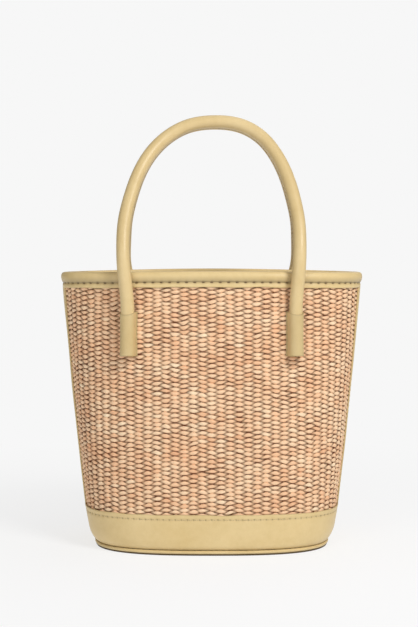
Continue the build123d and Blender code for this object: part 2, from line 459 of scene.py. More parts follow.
ROW_LOW = BAND_Z - 3 * MM
ROW_HIGH = RIM_Z - 10.5 * MM
RIB_HALF_WIDTH = 1.5 * MM
RIB_HALF_DEPTH = 0.42 * MM
RIB_SIDES = 8
UNDER_A_RIB = 0.9             # a ring placed from here on lies under the next rib
STRAND_TONES = (0.14, 0.28)   # each strand's tone lies between these,
GRAIN_TONE = 0.42             # and is this much paler over a rib
HIDDEN_TONE = 0.2             # and this much under one
# How uneven the grains are: up and down in mm, in size, along in ribs, and in tone.
GRAIN_LIFT, GRAIN_SIZE, GRAIN_STEP, GRAIN_SHADE = 0.10, 0.07, 0.035, 0.06
DIVE_LEVEL, DIVE_SLOPE = 0.42, 0.60     # how dark the painted shade makes a strand halfway, and how fast it pales outwards
# One weft strand over one rib and under the next: place along, swing out, half height, half depth.
FLOAT = [(-0.54, 0.0, 0.90, 0.50), (-0.36, 0.55, 1.04, 0.60), (-0.13, 0.95, 1.62, 0.85),
         (0.13, 0.95, 1.62, 0.85), (0.36, 0.55, 1.04, 0.60), (0.54, 0.0, 0.90, 0.50), (1.0, -1.0, 0.95, 0.42)]


def panel_shares(side):
    """The shares of the way round between which a panel shows. side is -1 in front, 1 behind."""
    half = 0.25 - STRIP_WIDTH / 2 / perimeter(mix(BAND_Z, RIM_Z, 0.5))
    middle = 0.0 if side < 0 else 0.5
    return middle - half, middle + half


def row_drift(share, z):
    """How far the rows wander up and down."""
    slow = 0.55 * MM * waves(share, z, 7, 11)
    return slow + 0.40 * MM * waves(share * 4 % 1, z * 1.7, 6, 12)


def straw_weft(name, node, side):
    """The strands that lie over one rib and under the next, row by row."""
    low, high = panel_shares(side)
    pitch = (high - low) / RIBS
    rows = int((ROW_HIGH - ROW_LOW) / WEFT_PITCH)
    across = int(RIBS + 2 * HIDDEN_RIBS)
    tubes, tones, dives, uvs = [], [], [], []
    turn = (np.arange(WEFT_SIDES) + 0.5) * 2 * math.pi / WEFT_SIDES
    for number in range(rows):
        strand_tone = RANDOM.uniform(*STRAND_TONES)
        rings = []
        for rib in range(number % 2, across, 2):
            lift = RANDOM.normal(0, GRAIN_LIFT)
            size = RANDOM.normal(1, GRAIN_SIZE)
            step = RANDOM.normal(0, GRAIN_STEP)
            own = strand_tone + GRAIN_TONE + RANDOM.normal(0, GRAIN_SHADE)
            for place, swing, height, thick in FLOAT:
                shown = place < UNDER_A_RIB
                rings.append((rib + place + (step if abs(place) < 0.4 else 0), swing, height * size,
                              thick * size, own if shown else strand_tone + HIDDEN_TONE, lift * shown))
        places, swings, tall, deep, tone, grain = np.array(rings).T
        share = low + (places - HIDDEN_RIBS + 0.5) * pitch
        z = ROW_LOW + (number + 0.5) * WEFT_PITCH
        z = z + row_drift(share, z) + grain * MM
        out = CLOTH_MIDDLE + WEFT_SWING * swings
        ring_z = z[:, None] + tall[:, None] * MM * np.sin(turn)
        ring_out = out[:, None] + deep[:, None] * MM * np.cos(turn)
        tubes.append(wall(share[:, None], ring_z, ring_out))
        tones.append(np.repeat(tone, WEFT_SIDES))
        # Painted shade, darkest where the strand lies under a rib.
        dives.append(np.repeat(np.clip(DIVE_LEVEL - DIVE_SLOPE * swings, 0, 1), WEFT_SIDES))
        along = share[:, None] * perimeter(z)[:, None] + 0 * turn
        uvs.append(np.stack([along, number * 7.13 + 0 * along + turn / 6.3], -1).reshape(-1, 2))
    points, faces = many_tubes(tubes)
    attributes = {"tone": np.concatenate(tones), "dive": np.concatenate(dives)}
    made = mesh_object(name, points, faces, STRAW, attributes=attributes, uvs=np.concatenate(uvs))
    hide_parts(node)


def straw_ribs(name, side):
    """The upright stakes that the weft goes round."""
    low, high = panel_shares(side)
    pitch = (high - low) / RIBS
    turn = full_turn(RIB_SIDES)
    levels = np.linspace(ROW_LOW, ROW_HIGH, 30)
    half = RIB_HALF_WIDTH / perimeter(levels)
    tubes, uvs = [], []
    ring_z = levels[:, None] + 0 * turn
    for rib in range(int(RIBS + 2 * HIDDEN_RIBS)):
        share = low + (rib - HIDDEN_RIBS + 0.5) * pitch
        ring_share = share + half[:, None] * np.cos(turn)
        tubes.append(wall(ring_share, ring_z, CLOTH_MIDDLE + RIB_HALF_DEPTH * np.sin(turn)))
        uvs.append(np.stack([ring_z, rib * 3.7 + turn / 6.3 + 0 * ring_z], -1))
    points, faces = many_tubes(tubes)
    # The ribs show only in the gaps, so they are painted dark with shade.
    attributes = {"tone": np.full(len(points), 0.25), "dive": np.full(len(points), 0.8)}
    mesh_object(name, points, faces, STRAW, attributes=attributes, uvs=np.array(uvs))


for face, side, _ in HANDLES:
    straw_weft(f"straw_{face}_weft", f"woven_{face}_panel", side)
for face, side, _ in HANDLES:
    straw_ribs(f"straw_{face}_ribs", side)


# ---- Stitches ----

STITCH_RINGS = np.array([-1.0, -0.86, -0.5, 0.0, 0.5, 0.86, 1.0])
STITCH_SIZES = np.array([0.35, 0.8, 1.0, 1.0, 1.0, 0.8, 0.35])


def stitches(name, middles, ways, outs, half_length, radius=0.3 * MM, sink=0.5 * MM,
             material=PALE_THREAD, body="bag"):
    """A row of short threads. Each dives into the leather at its ends, against its outward direction."""
    turn = full_turn(6)
    ways = ways / np.linalg.norm(ways, axis=-1, keepdims=True)
    outs = outs / np.linalg.norm(outs, axis=-1, keepdims=True)
    sides = np.cross(ways, outs)
    line = middles[:, None] + ways[:, None] * (STITCH_RINGS * half_length)[:, None]
    line = line - outs[:, None] * (sink * STITCH_RINGS ** 4)[:, None]
    rings = radius * STITCH_SIZES[:, None]
    across = sides[:, None, None] * np.cos(turn)[:, None] + outs[:, None, None] * np.sin(turn)[:, None]
    points, faces = many_tubes(line[:, :, None] + rings[None, :, :, None] * across)
    mesh_object(name, points, faces, material, body)


def wall_stitches(name, shares, z, out, half_length, **thread):
    """Stitches that run round the tub."""
    step = 0.5 * MM / perimeter(RIM_Z)
    middles = wall(shares, z, out)
    ways = wall(shares + step, z, out) - wall(shares - step, z, out)
    outs = wall(shares, z, out + MM) - middles
    stitches(name, middles, ways, outs, half_length, **thread)


# ---- Leather trim ----

def leather_piece(name, node, points, faces, shade, material=TRIM_LEATHER):
    """A piece of leather that stands for a CAD node. Its shade is how dark each point is painted: painted
    shade in holes, grooves and creases and on faces turned from the light, and darker edges.
    """
    made = mesh_object(name, points, faces, material, attributes={"shade": shade})
    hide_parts(node)


def leather_slab(name, node, outer, inner, shade, inner_shade):
    """A flat piece of leather with an outer and an inner face."""
    points = np.concatenate([outer.reshape(-1, 3), inner.reshape(-1, 3)])
    shade = np.concatenate([np.clip(shade, 0, 1).ravel(), np.full(shade.size, inner_shade)])
    leather_piece(name, node, points, slab_faces(*outer.shape[:2]), shade)


def nearest_stitch(place, pitch):
    """Distance along to the nearest stitch, in the units of the pitch."""
    return np.abs(np.mod(place / pitch + 0.5, 1) - 0.5) * pitch


RIM_STITCHES = 91
RIM_STITCH_DROP = 8.9 * MM    # from the rim's top down to its stitches
RIM_LIP = 12.7 * MM           # and to the fold's lower edge
RIM_FOLD = -2.5 * MM          # what lies further out is the outer half of the fold
RIM_INNER_FACE = -6.0 * MM
# The folded leather's section: outwards, and up from the rim's top, in millimetres.
RIM_SECTION = [
    (-1.05, -12.53), (-0.5, -12.81), (0.1, -12.72), (0.32, -12.3), (0.38, -11.66), (0.4, -10.92),
    (0.38, -10.19), (0.25, -9.54), (-0.05, -9.13), (-0.22, -8.9), (-0.05, -8.64), (0.3, -8.22),
    (0.7, -7.53), (1.0, -6.68), (1.2, -5.65), (1.28, -4.63), (1.22, -3.6), (1.0, -2.5),
    (0.55, -1.4), (-0.1, -0.6), (-1.0, -0.15), (-2.0, 0.0), (-3.2, 0.02), (-4.4, -0.1),
    (-5.3, -0.45), (-6.0, -1.1), (-6.4, -2.1), (-6.55, -3.6), (-6.5, -5.65), (-6.35, -7.87),
    (-6.15, -8.9), (-6.35, -10.0), (-6.4, -11.66), (-6.2, -12.3), (-5.6, -12.49), (-5.15, -12.12),
    (-5.1, -8.22), (-5.05, -3.6), (-4.6, -1.9), (-3.2, -1.4), (-1.8, -1.9), (-1.25, -3.6),
    (-1.2, -8.22),
]


def rim_binding():
    """Leather folded over the rim and stitched through, with a seam inside and outside."""
    columns = RIM_STITCHES * 10
    share = around(columns)[:, None]
    section = np.array(RIM_SECTION) * MM
    out, up = section[:, 0][None], section[:, 1][None]
    length = perimeter(RIM_Z)
    from_stitch = nearest_stitch(share * length, length / RIM_STITCHES)
    outside = out > RIM_FOLD
    outward = np.where(outside, 1.0, -1.0)
    near_line = bump(up + RIM_STITCH_DROP, 1.1 * MM)
    pulled = bump(from_stitch, 1.25 * MM) * near_line
    gather = bump(from_stitch, 2.0 * MM) * bump(up + RIM_STITCH_DROP - 2.5 * MM, 2.4 * MM)
    # Only the faces that show are shaped and shaded, not those against the straw.
    skin = (section[:, 0] > -1.1 * MM) | (section[:, 0] < -5.25 * MM) | (section[:, 1] > -0.9 * MM)
    uneven = 0.10 * MM * waves(share, 0 * up, 6, 21) * bump(up + 5 * MM, 5 * MM)
    lip = 0.22 * MM * waves(share, 0 * up, 6, 22) * bump(up + RIM_LIP, 1.4 * MM)
    moved = (uneven - 0.55 * MM * pulled - 0.16 * MM * gather) * skin[None]
    points = wall(share, rim_top(share) + up + lip, out + outward * moved)
    # Painted shade in the stitch line and the dents round each stitch, and down the roll's lower half, which
    # faces away from the light; the lip's lower edge is darker too.
    lower = np.clip((-up - 3.2 * MM) / (4.8 * MM), 0, 1) * (up > -RIM_STITCH_DROP) * outside
    shade = np.clip(0.32 * near_line + 0.3 * pulled + 0.58 * lower, 0, 1) * skin[None]
    shade = shade + 0.35 * bump(up + RIM_LIP + 0.2 * MM, 0.5 * MM)
    faces = grid_faces(columns, len(section), close_rows=True)
    leather_piece("rim_leather", "rim_binding", points, faces, shade)
    marks = around(RIM_STITCHES)
    z = rim_top(marks) - RIM_STITCH_DROP
    wall_stitches("rim_outer_stitches", marks, z, -0.36 * MM, 1.35 * MM, radius=0.36 * MM,
                  material=RIM_THREAD)
    inner = wall(marks, z, RIM_INNER_FACE)
    ways = wall(marks + 0.001, z, RIM_INNER_FACE) - inner
    outs = wall(marks, z, RIM_INNER_FACE - MM) - inner
    stitches("rim_inner_stitches", inner, ways, outs, 2.3 * MM, radius=0.38 * MM, material=RIM_THREAD)


BAND_STITCHES = 126
FOOT_TUCK = 3.6 * MM          # how far the foot turns in at the sides, below
TUCK_TOP = 15 * MM            # and up to where
BAND_STITCH_DROP = 3.8 * MM
BAND_SECTION = [
    (-1.1, 32.4), (-0.75, 33.0), (-0.25, 33.15), (0.08, 32.85), (0.2, 32.2), (0.22, 31.2), (0.2, 30.4),
    (0.14, 29.9), (0.08, 29.5), (0.06, 29.2), (0.08, 28.9), (0.14, 28.5), (0.24, 28.0), (0.34, 27.0),
    (0.42, 25.0), (0.5, 22.0), (0.55, 18.5), (0.52, 15.0), (0.4, 12.0), (0.15, 9.4), (-0.15, 7.6),
    (-0.5, 6.2), (-0.95, 5.2), (-1.45, 4.5), (-2.1, 4.15), (-2.6, 4.4), (-2.2, 5.6), (-1.5, 9.0),
    (-1.25, 15.0), (-1.2, 28.0),
]


def tuck(share, z):
    """How far the foot is drawn in towards the sole."""
    return FOOT_TUCK * np.clip(1 - z / TUCK_TOP, 0, 1) ** 1.7 * np.sin(2 * math.pi * share) ** 2


def base_band():
    """The leather band round the foot, with its stitch holes and its lower edge turned in."""
    columns = BAND_STITCHES * 8
    share = around(columns)[:, None]
    section = np.array(BAND_SECTION) * MM
    out, z = section[:, 0][None], section[:, 1][None]
    length = perimeter(BAND_Z)
    line = BAND_Z - BAND_STITCH_DROP
    from_hole = nearest_stitch(share * length, length / BAND_STITCHES)
    skin = (section[:, 0] > -1.19 * MM)[None] | (z < 5.5 * MM)
    hole = bump(from_hole, 0.55 * MM) * bump(z - line, 0.62 * MM)
    uneven = 0.22 * MM * waves(share, z * 0.7, 7, 31) * bump(z - 17 * MM, 12 * MM)
    edge = 0.2 * MM * waves(share, 0 * z, 6, 32) * bump(z - BAND_Z, 1.5 * MM)
    sag = 0.35 * MM * bump(z - line, 1.1 * MM)
    moved = (uneven - 0.62 * MM * hole - sag * 0.3) * skin
    points = wall(share, z + edge, out + moved - tuck(share, z))
    # Painted shade in the stitch holes, along the stitch line and in the crease low down where the band turns
    # in above the welt; the top edge is darker too.
    shade = 0.85 * hole + 0.12 * bump(z - line, 0.9 * MM) + 0.3 * bump(z - BAND_Z - 0.15 * MM, 0.45 * MM)
    shade = np.clip(shade + 0.4 * bump(z - 4.2 * MM, 1.6 * MM), 0, 1) * skin
    faces = grid_faces(columns, len(section), close_rows=True)
    leather_piece("base_band_leather", "base_band", points, faces, shade)
    marks = (np.arange(BAND_STITCHES) + 0.5) / BAND_STITCHES
    wall_stitches("base_band_stitches", marks, np.full(BAND_STITCHES, line), -0.12 * MM, 1.75 * MM)


SOLE_SHOWS = 0.9 * MM         # how much of the sole shows below the welt, dark to paint the contact shadow there
SOLE_COLUMNS = 420
# The sole's edge from below: in from the welt's outer face, and up, in millimetres.
SOLE_EDGE = [(1.2, 0.0), (0.6, 0.15), (0.45, 0.5), (0.45, 1.2), (0.9, 1.7), (3.0, 1.8)]


def sole():
    """A flat sole with soft edges, just inside the welt's outer face, dark to paint the contact shadow under
    the welt.
    """
    share = around(SOLE_COLUMNS)[None]
    rings = [wall(share, z * MM, PIPING_PROUD - inset * MM - tuck(share, PIPING_Z))
             for inset, z in SOLE_EDGE]
    points = np.concatenate([ring.reshape(1, -1, 3) for ring in rings])
    points[..., 2] = np.maximum(points[..., 2], 0)
    faces = tube_faces(len(rings), SOLE_COLUMNS)
    leather_piece("sole", "base_panel", points, faces, np.zeros(points.shape[:2]), SOLE_SHADOW_LEATHER)


def base_piping():
    """A round welt with the fine pinch of its seam and a few soft dents."""
    columns, sides = 900, 20
    share = around(columns)[:, None]
    turn = full_turn(sides)[None]
    from_below = wrapped(turn + math.pi / 2)
    radius = PIPING_HIGH.z / 2
    length = perimeter(PIPING_Z)
    pinch = bump(nearest_stitch(share * length, length / BAND_STITCHES), 0.9 * MM)
    inward_top = bump(wrapped(turn - 2.2), 0.7)
    size = radius * (1 - 0.012 * waves(share, 0 * turn, 5, 41)) - 0.14 * MM * pinch * inward_top
    size = size * (1 - 0.09 * bump(from_below, 0.45))
    centre_out = PIPING_PROUD - radius - tuck(share, PIPING_Z)
    points = wall(share, PIPING_Z + SOLE_SHOWS / 2 + (size - SOLE_SHOWS / 2) * np.sin(turn),
                  centre_out + size * np.cos(turn))
    points[..., 2] = np.maximum(points[..., 2], 0)
    # Painted shade in the crease where the welt meets the band and in its stitch pinches, and a painted
    # contact shadow on its underside.
    underside = bump(from_below, 0.95)
    shade = np.clip(0.35 * inward_top + 0.3 * pinch * inward_top + 1.5 * underside, 0, 1)
    faces = grid_faces(columns, sides, close_rows=True)
    leather_piece("base_welt", "base_piping", points, faces, shade)


STRIP_STITCHES = 41
STRIP_LINE = 2.6 * MM         # from the strip's edge in to its stitches
STRIP_BACK = -1.2 * MM        # its inner face


def side_strip(label, side):
    """The upright leather strip over the panels' ends, stitched down both edges."""
    name = f"{label}_strip_leather"
    rows, columns = 200, 34
    level = np.linspace(BAND_Z - 2 * MM, RIM_Z - 12.5 * MM, rows)[:, None]
    place = np.sin(np.linspace(-1, 1, columns)[None] * math.pi / 2)
    place = 0.55 * place + 0.45 * np.linspace(-1, 1, columns)[None]
    across = place * STRIP_WIDTH / 2
    middle = 0.25 if side > 0 else 0.75
    share = middle + side * across / perimeter(level)
    edge = STRIP_WIDTH / 2 - np.abs(across)
    pitch = (level[-1, 0] - level[0, 0]) / STRIP_STITCHES
    on_line = bump(edge - STRIP_LINE, 0.8 * MM)
    hole = bump(nearest_stitch(level - level[0, 0], pitch), 0.55 * MM) * on_line
    rounded = -0.7 * MM * np.clip(1 - edge / (0.9 * MM), 0, 1) ** 2
    puff = 0.3 * MM * np.clip(edge / (8 * MM), 0, 1) + 0.12 * MM * waves(share, level, 6, 51)
    groove = -0.12 * MM * on_line
    outer = wall(share, level, 0.15 * MM + rounded + puff + groove - 0.5 * MM * hole)
    inner = wall(share, level, STRIP_BACK)
    # Painted shade in the stitch holes and along the stitch lines; the edges are darker too.
    shade = 0.8 * hole + 0.1 * on_line + 0.4 * bump(edge, 0.5 * MM)
    leather_slab(name, f"{label}_side_strip", outer, inner, shade, 0.0)
    marks = level[0, 0] + (np.arange(STRIP_STITCHES) + 0.5) * pitch
    for number, edge_side in enumerate((-1, 1)):
        share = middle + edge_side * (STRIP_WIDTH / 2 - STRIP_LINE) / perimeter(marks)
        middles = wall(share, marks, 0.02 * MM)
        ways = wall(share, marks + MM, 0.02 * MM) - middles
        outs = wall(share, marks, MM) - middles
        stitches(f"{name}_stitches_{number}", middles, ways, outs, 1.65 * MM)


rim_binding()
base_band()
sole()
base_piping()
side_strip("left", -1)
side_strip("right", 1)


# ---- Lining ----

# The lining's cup: a wall set in from the tub's leather, and a floor at the bottom of the lining's CAD solid.
LINING_COLUMNS = 320
LINING_THICKNESS = 0.7 * MM
LINING_OUT = -4.2 * MM            # its outer face, from the tub's leather
LINING_CORNER = 5 * MM


def lining_cup():
    """The cotton cup: an upright wall that curves into a floor, with soft folds."""
    columns = LINING_COLUMNS
    share = around(columns)[None]
    floor = LINING_LOW.z
    corner = LINING_CORNER
    levels = np.linspace(RIM_Z - 3 * MM, floor + corner, 46)

    def face(gap):
        """Rows of points from the rim down and in to the floor's middle."""
        rows = []
        for level in levels:
            fold = 0.45 * MM * (waves(share, np.full((1, 1), level * 0.5), 7, 61) - 1.2)
            ease = np.clip((RIM_Z - 16 * MM - level) / (20 * MM), 0, 1)
            rows.append(wall(share, level, LINING_OUT - gap + fold * ease))
        for turn in np.linspace(0.25, 1, 4) * math.pi / 2:
            inset = LINING_OUT - gap - corner * (1 - math.cos(turn))
            rows.append(wall(share, floor + gap + corner * (1 - math.sin(turn)), inset - 0.54 * MM))
        rim = rows[-1]
        for size in (0.92, 0.8, 0.6, 0.4, 0.2, 0.05):
            ring = rim * np.array([size, size, 1.0])
            ring[..., 2] = floor + gap + 0.3 * MM * bump(ring[..., 0] - 0.03, 0.02) * size
            rows.append(ring)
        return np.concatenate(rows)

    outer, inner = face(0.0), face(LINING_THICKNESS)
    rows = len(outer)
    size = rows * columns
    faces = grid_faces(rows, columns)
    faces += [quad[::-1] for quad in grid_faces(rows, columns, start=size)]
    for column in range(columns):
        there = (column + 1) % columns
        faces.append([there, column, column + size, there + size])
    last = (rows - 1) * columns
    faces.append([last + column for column in range(columns)])
    faces.append([size + last + column for column in reversed(range(columns))])
    points = np.stack([outer, inner])
    way = np.concatenate([[0], np.cumsum(np.linalg.norm(np.diff(outer[:, 0], axis=0), axis=-1))])
    uv = np.stack(np.broadcast_arrays(share * perimeter(RIM_Z), way[:, None]), -1)
    made = mesh_object("lining_cloth", points, faces, LINING_CLOTH, uvs=np.stack([uv, uv]))
    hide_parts("lining")
    return made


lining_cup()


# ---- Handles ----

# A handle's line: share of its half width, and share of the way up from the hinge to the crown.
HANDLE_LINE = [
    (0.953, 0.0), (0.97, 0.1), (0.99, 0.2), (1.0, 0.33), (0.99, 0.45), (0.942, 0.572),
    (0.857, 0.705), (0.715, 0.833), (0.55, 0.92), (0.3, 0.983), (0.0, 1.0),
]
SLEEVE_FOOT = 3 * MM          # how far above the sleeve's bottom the handle ends
UPRIGHT_RISE = 38.8 * MM      # the legs stand upright this far above the hinge, and then lean in
CROWN_DEPTH = 5.7 * MM        # from the bag's middle plane to each crown
BACK_SPREAD = 0.88            # the share of the back handle's extra width that shows below its crown
CROWN_LEAN = 2.2 * MM         # the crowns have settled a little to the right
CROWN_LIFT = 0.7 * MM
BACK_SETTLE = 2.6 * MM        # and the back one has sunk
BACK_LEAN = 1.0 * MM          # and leans to the right from the rim up
FRONT_LEAN = -0.4 * MM        # while the front one leans to the left
SHOULDER_SAG = 1.2 * MM       # the left shoulders have sunk most
SHOULDER_X = -34 * MM
SHOULDER_WIDTH = 16 * MM
LINE_STEP = 1.1 * MM
HANDLE_SIDES = 28
CORD_TRIM = 4                 # steps of the line by which the cord stops short at each end
SEAM_ANGLE = 0.6              # how far round from the arch's inside the seam lies
SEAM_RISE = 6 * MM            # how far above the hinge its stitches start
SEAM_PITCH = 4.2 * MM


def smooth_line(points, step):
    """A natural cubic through the points, cut into pieces of about that length."""
    points = np.array(points, float)
    count = len(points)
    way = np.concatenate([[0], np.cumsum(np.linalg.norm(np.diff(points, axis=0), axis=1))])
    gap = np.diff(way)
    system = np.eye(count)
    right = np.zeros_like(points)
    for i in range(1, count - 1):
        system[i, i - 1:i + 2] = gap[i - 1], 2 * (gap[i - 1] + gap[i]), gap[i]
        right[i] = 6 * ((points[i + 1] - points[i]) / gap[i] - (points[i] - points[i - 1]) / gap[i - 1])
    curve = np.linalg.solve(system, right)
    places = np.linspace(0, way[-1], int(way[-1] / step) + 1)
    i = np.clip(np.searchsorted(way, places, side="right") - 1, 0, count - 2)
    a, b, h = (way[i + 1] - places)[:, None], (places - way[i])[:, None], gap[i][:, None]
    line = curve[i] * a ** 3 / (6 * h) + curve[i + 1] * b ** 3 / (6 * h)
    line += (points[i] / h - curve[i] * h / 6) * a + (points[i + 1] / h - curve[i + 1] * h / 6) * b
    return line, places


def wall_depth(x, z, out):
    """Depth of the wall's face at x and height z."""
    width, depth, squareness = form(np.array(z))
    return float((depth + out) * (1 - (abs(x) / (width + out)) ** squareness) ** (1 / squareness))


def handle_points(node, joint, side, shift):
    """The line's points. Both handles are as wide at the crown, and the back one spreads more below."""
    low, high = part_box(node)
    front_low, front_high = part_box("front_handle_cover")
    hinge_y, hinge_z = joint["pos_m"][1:]
    half_width = (front_high.x - front_low.x) / 2 - HANDLE_RADIUS
    wider = (high.x - low.x) / 2 - HANDLE_RADIUS - half_width
    crown_z = high.z - HANDLE_RADIUS
    half = []
    foot_z = SLEEVE_LOW.z + SLEEVE_FOOT
    for z in (foot_z, mix(foot_z, hinge_z, 0.5)):
        slope = wall_depth(FOOT_X, z, 0) - wall_depth(FOOT_X, SLEEVE_HIGH.z, 0)
        half.append((FOOT_X, hinge_y + side * slope, z))
    for across, rise in HANDLE_LINE:
        z = mix(hinge_z, crown_z, rise)
        share = max(0.0, (z - hinge_z - UPRIGHT_RISE) / (crown_z - hinge_z - UPRIGHT_RISE))
        ease = share * share * (3 - 2 * share) * 0.35 + share * 0.65
        y = mix(hinge_y, side * CROWN_DEPTH, ease)
        spread = BACK_SPREAD * wider * min(1, rise / HANDLE_LINE[2][1]) * abs(y / hinge_y)
        x = (half_width + spread) * across if rise > 0 else FOOT_X
        half.append((x, y, z))
    points = [(-x, y, z) for x, y, z in half] + [(x, y, z) for x, y, z in reversed(half[:-1])]
    sink, lean = (BACK_SETTLE, BACK_LEAN) if side > 0 else (-CROWN_LIFT, FRONT_LEAN)
    settled = []
    for x, y, z in points:
        up = max(0, (z - hinge_z) / (crown_z - hinge_z))
        aside = lean * min(1, up / 0.25) + (CROWN_LEAN - min(0, lean)) * up ** 3
        sag = SHOULDER_SAG * bump(x - SHOULDER_X, SHOULDER_WIDTH) if up > 0.8 else 0
        settled.append((x + shift + aside, y, z - sink * up ** 3 - sag))
    return settled


def tube_frames(line):
    """Unit directions along a line, and two across it: in the arch's plane, and out of it."""
    along = np.gradient(line, axis=0)
    along /= np.linalg.norm(along, axis=1, keepdims=True)
    arch = np.cross(along, np.array([0.0, 1.0, 0.0]))
    arch /= np.linalg.norm(arch, axis=1, keepdims=True)
    return along, arch, np.cross(along, arch)


def spokes(arch, across, turn):
    """Unit directions from a line out to each side of a tube round it."""
    return arch[:, None] * np.cos(turn)[:, None] + across[:, None] * np.sin(turn)[:, None]


def handle(label, side, shift):
    """A rolled leather handle with its filler cord and the seam that closes it."""
    joint = JOINTS[f"{label}_swing"]
    hinge_y, hinge_z = joint["pos_m"][1:]
    line, way = smooth_line(handle_points(f"{label}_cover", joint, side, shift), LINE_STEP)
    along, arch, across = tube_frames(line)
    turn = full_turn(HANDLE_SIDES)
    # The seam lies inside the arch, towards the other handle.
    seam_at = math.pi - side * SEAM_ANGLE
    from_seam = wrapped(turn - seam_at)
    ripple = 0.10 * MM * np.sin(way[:, None] * 61) * np.sin(turn * 2 + way[:, None] * 23)
    size = HANDLE_RADIUS + ripple - 0.42 * MM * bump(from_seam, 0.12)[None]
    size = size + 0.14 * MM * bump(np.abs(from_seam) - 0.38, 0.16)[None]
    ends = np.clip(np.minimum(way, way[-1] - way) / (3 * MM), 0, 1)
    size = size * np.sqrt(np.clip(1 - (1 - ends) ** 2, 0.03, 1))[:, None]
    points = line[:, None] + size[..., None] * spokes(arch, across, turn)
    # Painted shade in the seam's groove.
    shade = 0.7 * bump(from_seam, 0.14)[None] + 0 * way[:, None]
    cover = mesh_object(f"{label}_leather", points, tube_faces(len(line), HANDLE_SIDES), HANDLE_LEATHER,
                        body=None, attributes={"shade": shade})
    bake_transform(cover)
    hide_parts(f"{label}_cover")

    kept = slice(CORD_TRIM, -CORD_TRIM)
    core = line[kept]
    points = core[:, None] + CORE_RADIUS * spokes(arch[kept], across[kept], turn[::2])
    faces = tube_faces(len(core), HANDLE_SIDES // 2)
    cord = mesh_object(f"{label}_rope", points, faces, ROPE, body=None)
    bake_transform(cord)
    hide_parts(f"{label}_cord")

    above = line[:, 2] > hinge_z + SEAM_RISE
    marks = (np.arange(int(way[-1] / SEAM_PITCH)) + 0.5) * SEAM_PITCH
    marks = marks[np.interp(marks, way, above.astype(float)) > 0.99]
    pick = np.array([[np.interp(marks, way, field[:, axis]) for axis in range(3)]
                     for field in (line, along, arch, across)]).transpose(0, 2, 1)
    outward = pick[2] * math.cos(seam_at) + pick[3] * math.sin(seam_at)
    across_seam = np.cross(outward, pick[1])
    middles = pick[0] + outward * (HANDLE_RADIUS + 0.04 * MM)
    stitches(f"{label}_stitches", middles, across_seam + 0.35 * pick[1], outward, 1.7 * MM,
             sink=0.75 * MM, body=label)


for face, side, shift in HANDLES:
    handle(f"{face}_handle", side, shift)


# ---- Sleeves ----

SLEEVE_LEATHER = 0.5 * MM
OUTER_FLANGE = 0.3 * MM       # seam edge that lies flat on the straw, on the side away from the middle
INNER_FLANGE = 0.8 * MM       # and on the side towards it
SLEEVE_RAISED = 1.3 * MM      # how far the leather's lower edge stands above the CAD sleeve's
SLEEVE_STITCHES = 8
STRAW_FACE = -1.3 * MM        # the face that the flanges lie on, from the tub's leather
ROUND_TO = 0.62               # the leather follows the handle up to this share of its half width,
FLANGE_FROM = 0.80            # and lies flat from this one on
THREAD_LIFT = 0.12 * MM


